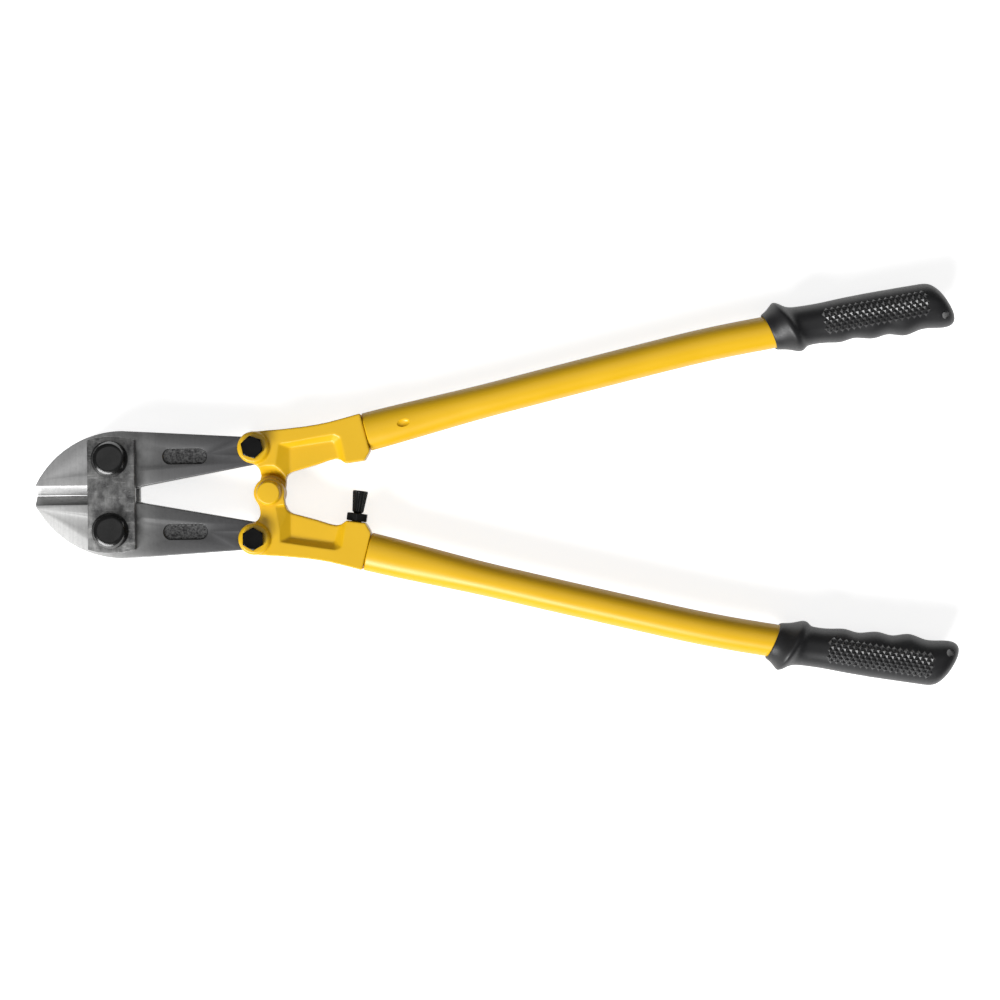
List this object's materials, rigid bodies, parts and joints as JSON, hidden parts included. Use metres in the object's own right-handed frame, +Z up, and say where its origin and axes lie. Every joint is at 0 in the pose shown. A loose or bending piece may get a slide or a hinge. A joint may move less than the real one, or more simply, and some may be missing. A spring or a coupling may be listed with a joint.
{
  "type": "bolt cutters",
  "caption": "Compound-lever bolt cutters with replaceable jaws, link plates, forged yokes, tube handles and rubber grips.",
  "frame": {"origin": "centre of the tool's box in plan, on the surface that it lies on, with the jaws closed", "axes": "+X from the cutting tips to the grips, +Y across the tool towards the upper handle, +Z up through the tool's thickness"},
  "size_m": [0.459, 0.2004, 0.032],
  "materials": {
    "jaw_steel": "ground bright at the tips, heat-darkened towards the rear",
    "link_plate": "dark tempered, brushed across, lightly scratched",
    "black_steel": "black oxide",
    "zinc_washer": "zinc plated",
    "yellow_paint": "gloss yellow enamel",
    "black_rubber": "satin moulded rubber with a diamond knurl"
  },
  "bodies": {
    "link": {"front_link_plate": "link_plate", "rear_link_plate": "link_plate", "upper_jaw_bolt": "black_steel", "lower_jaw_bolt": "black_steel", "upper_jaw_washer": "zinc_washer", "lower_jaw_washer": "zinc_washer", "upper_jaw_nut": "black_steel", "lower_jaw_nut": "black_steel"},
    "upper_jaw": {"upper_jaw": "jaw_steel"},
    "lower_jaw": {"lower_jaw": "jaw_steel"},
    "upper_handle": {"upper_yoke": "yellow_paint", "upper_tube": "yellow_paint", "upper_grip": "black_rubber", "upper_yoke_bolt": "black_steel", "upper_yoke_nut": "black_steel"},
    "lower_handle": {"lower_yoke": "yellow_paint", "lower_tube": "yellow_paint", "lower_grip": "black_rubber", "lower_yoke_bolt": "black_steel", "lower_yoke_nut": "black_steel", "centre_pin": "yellow_paint", "centre_pin_washer": "zinc_washer", "centre_pin_nut": "black_steel", "stop_lock_nut": "black_steel"},
    "stop_screw": {"stop_screw": "black_steel"}
  },
  "joints": [
    {"name": "upper_handle_pivot", "type": "hinge", "parent": "upper_jaw", "child": "upper_handle", "pos_m": [-0.12047, 0.0227, 0.0169], "axis": [0, 0, 1], "range_deg": [0, 44]},
    {"name": "upper_jaw_pivot", "type": "hinge", "parent": "link", "child": "upper_jaw", "pos_m": [-0.19127, 0.0178, 0.0169], "axis": [0, 0, 1], "range_deg": [-6.9, 0]},
    {"name": "lower_jaw_pivot", "type": "hinge", "parent": "link", "child": "lower_jaw", "pos_m": [-0.19127, -0.0178, 0.0169], "axis": [0, 0, 1], "range_deg": [0, 6.9]},
    {"name": "lower_handle_pivot", "type": "hinge", "parent": "lower_jaw", "child": "lower_handle", "pos_m": [-0.12047, -0.0227, 0.0169], "axis": [0, 0, 1], "range_deg": [-44, 0]},
    {"name": "stop_screw_thread", "type": "slide", "parent": "lower_handle", "child": "stop_screw", "axis": [0.1392, 0.9903, 0], "range_m": [0, 0.004]}
  ],
  "couplings": [
    {"joint": "upper_jaw_pivot", "follows": "upper_handle_pivot", "ratio": -0.156},
    {"joint": "lower_jaw_pivot", "follows": "upper_handle_pivot", "ratio": 0.156},
    {"joint": "lower_handle_pivot", "follows": "upper_handle_pivot", "ratio": -1}
  ]
}
